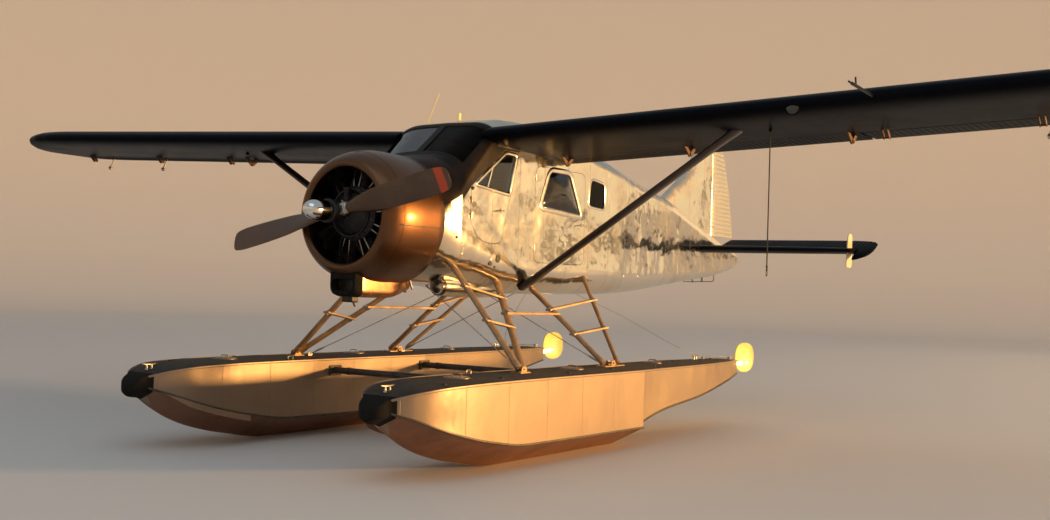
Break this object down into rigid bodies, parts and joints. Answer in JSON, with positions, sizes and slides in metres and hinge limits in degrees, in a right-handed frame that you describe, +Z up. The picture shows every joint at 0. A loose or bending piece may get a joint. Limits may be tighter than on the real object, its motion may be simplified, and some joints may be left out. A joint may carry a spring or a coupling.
{
  "type": "floatplane",
  "caption": "High-wing single-engine floatplane with a radial engine, twin floats on braced struts, hinged doors, flaps, ailerons, rudder, elevator and lifting water rudders.",
  "frame": {"origin": "on the ground under the middle of the whole aircraft's box, the float keels standing on z = 0", "axes": "+X towards the propeller, +Y towards the port wing tip, +Z up"},
  "size_m": [9.98, 14.63, 3.795],
  "materials": {
    "polished_aluminium": "polished bare sheet",
    "float_aluminium": "weathered bare sheet",
    "strut_aluminium": "satin",
    "bronze_paint": "dark bronze gloss",
    "navy_paint": "near-black navy gloss",
    "black_paint": "satin black",
    "pale_paint": "satin pale yellow",
    "polished_steel": "polished",
    "engine_metal": "cast and machined",
    "black_rubber": "matt",
    "seat_cloth": "woven",
    "dark_rope": "twisted",
    "window_glass": "clear"
  },
  "bodies": {
    "airframe": {"port_wing": "navy_paint", "starboard_wing": "navy_paint", "port_wing_strut": "navy_paint", "starboard_wing_strut": "navy_paint", "cabin_floor": "polished_aluminium", "port_side_wall": "polished_aluminium", "starboard_side_wall": "polished_aluminium", "port_rear_window": "window_glass", "starboard_rear_window": "window_glass", "cabin_roof": "bronze_paint", "port_windshield": "window_glass", "starboard_windshield": "window_glass", "aft_bulkhead": "polished_aluminium", "instrument_panel": "black_paint", "port_front_seat": "seat_cloth", "starboard_front_seat": "seat_cloth", "bench_seat": "seat_cloth", "engine": "engine_metal", "cowl": "bronze_paint", "carburettor_scoop": "bronze_paint", "nose_skirt": "polished_aluminium", "oil_cooler_scoop": "polished_aluminium", "rear_fuselage": "polished_aluminium", "fin": "polished_aluminium", "port_stabilizer": "navy_paint", "starboard_stabilizer": "navy_paint", "port_float": "float_aluminium", "starboard_float": "float_aluminium", "port_bow_bumper": "black_rubber", "starboard_bow_bumper": "black_rubber", "port_front_float_struts": "strut_aluminium", "starboard_front_float_struts": "strut_aluminium", "port_rear_float_struts": "strut_aluminium", "starboard_rear_float_struts": "strut_aluminium", "front_spreader_bar": "black_paint", "rear_spreader_bar": "black_paint", "front_bracing": "polished_steel", "rear_bracing": "polished_steel", "tie_down_rope": "dark_rope", "tie_down_hook": "polished_steel"},
    "propeller": {"propeller": "polished_steel"},
    "port_flap": {"port_flap": "navy_paint"},
    "starboard_flap": {"starboard_flap": "navy_paint"},
    "port_aileron": {"port_aileron": "navy_paint"},
    "starboard_aileron": {"starboard_aileron": "navy_paint"},
    "rudder": {"rudder": "polished_aluminium"},
    "elevator": {"port_elevator": "navy_paint", "starboard_elevator": "navy_paint"},
    "port_pilot_door": {"port_pilot_door": "polished_aluminium", "port_pilot_door_glass": "window_glass"},
    "starboard_pilot_door": {"starboard_pilot_door": "polished_aluminium", "starboard_pilot_door_glass": "window_glass"},
    "port_cabin_door": {"port_cabin_door": "polished_aluminium", "port_cabin_door_glass": "window_glass"},
    "starboard_cabin_door": {"starboard_cabin_door": "polished_aluminium", "starboard_cabin_door_glass": "window_glass"},
    "port_water_rudder_post": {"port_water_rudder_post": "float_aluminium"},
    "starboard_water_rudder_post": {"starboard_water_rudder_post": "float_aluminium"},
    "port_water_rudder_blade": {"port_water_rudder_blade": "pale_paint"},
    "starboard_water_rudder_blade": {"starboard_water_rudder_blade": "pale_paint"}
  },
  "joints": [
    {"name": "propeller_spin", "type": "hinge", "parent": "airframe", "child": "propeller", "pos_m": [3.865, 0, 2.18], "axis": [1, 0, 0], "continuous": true},
    {"name": "port_flap_hinge", "type": "hinge", "parent": "airframe", "child": "port_flap", "pos_m": [1.2, 0.79, 2.8379], "axis": [0, -0.9991, -0.042], "range_deg": [0, 58]},
    {"name": "starboard_flap_hinge", "type": "hinge", "parent": "airframe", "child": "starboard_flap", "pos_m": [1.2, -0.79, 2.8379], "axis": [0, -0.9991, 0.042], "range_deg": [0, 58]},
    {"name": "port_aileron_hinge", "type": "hinge", "parent": "airframe", "child": "port_aileron", "pos_m": [1.204, 5.45, 3.15685], "axis": [0, 0.9991, 0.042], "range_deg": [-20, 20]},
    {"name": "starboard_aileron_hinge", "type": "hinge", "parent": "airframe", "child": "starboard_aileron", "pos_m": [1.204, -5.45, 3.15685], "axis": [0, 0.9991, -0.042], "range_deg": [-20, 20]},
    {"name": "rudder_hinge", "type": "hinge", "parent": "airframe", "child": "rudder", "pos_m": [-3.99, 0, 3.03], "axis": [0, 0, 1], "range_deg": [-25, 25]},
    {"name": "elevator_hinge", "type": "hinge", "parent": "airframe", "child": "elevator", "pos_m": [-3.81, 0, 2.15], "axis": [0, 1, 0], "range_deg": [-40, 6]},
    {"name": "port_pilot_door_hinge", "type": "hinge", "parent": "airframe", "child": "port_pilot_door", "pos_m": [2.66, 0.628, 2.3], "axis": [0, 0, -1], "range_deg": [0, 70]},
    {"name": "starboard_pilot_door_hinge", "type": "hinge", "parent": "airframe", "child": "starboard_pilot_door", "pos_m": [2.66, -0.628, 2.3], "axis": [0, 0, 1], "range_deg": [0, 70]},
    {"name": "port_cabin_door_hinge", "type": "hinge", "parent": "airframe", "child": "port_cabin_door", "pos_m": [1.553, 0.628, 2.3], "axis": [0, 0, -1], "range_deg": [0, 75]},
    {"name": "starboard_cabin_door_hinge", "type": "hinge", "parent": "airframe", "child": "starboard_cabin_door", "pos_m": [1.553, -0.628, 2.3], "axis": [0, 0, 1], "range_deg": [0, 75]},
    {"name": "port_water_rudder_steer", "type": "hinge", "parent": "airframe", "child": "port_water_rudder_post", "pos_m": [-1.76, 1.38, 0.65], "axis": [0, 0, 1], "range_deg": [-12, 44]},
    {"name": "starboard_water_rudder_steer", "type": "hinge", "parent": "airframe", "child": "starboard_water_rudder_post", "pos_m": [-1.76, -1.38, 0.65], "axis": [0, 0, 1], "range_deg": [-12, 44]},
    {"name": "port_water_rudder_lift", "type": "hinge", "parent": "port_water_rudder_post", "child": "port_water_rudder_blade", "pos_m": [-1.81768, 1.39654, 0.694], "axis": [-0.2756, -0.9613, 0], "range_deg": [0, 60]},
    {"name": "starboard_water_rudder_lift", "type": "hinge", "parent": "starboard_water_rudder_post", "child": "starboard_water_rudder_blade", "pos_m": [-1.81768, -1.36346, 0.694], "axis": [-0.2756, -0.9613, 0], "range_deg": [0, 60]}
  ],
  "couplings": [
    {"joint": "starboard_flap_hinge", "follows": "port_flap_hinge", "ratio": 1},
    {"joint": "starboard_aileron_hinge", "follows": "port_aileron_hinge", "ratio": -1},
    {"joint": "starboard_water_rudder_steer", "follows": "port_water_rudder_steer", "ratio": 1},
    {"joint": "starboard_water_rudder_lift", "follows": "port_water_rudder_lift", "ratio": 1}
  ]
}
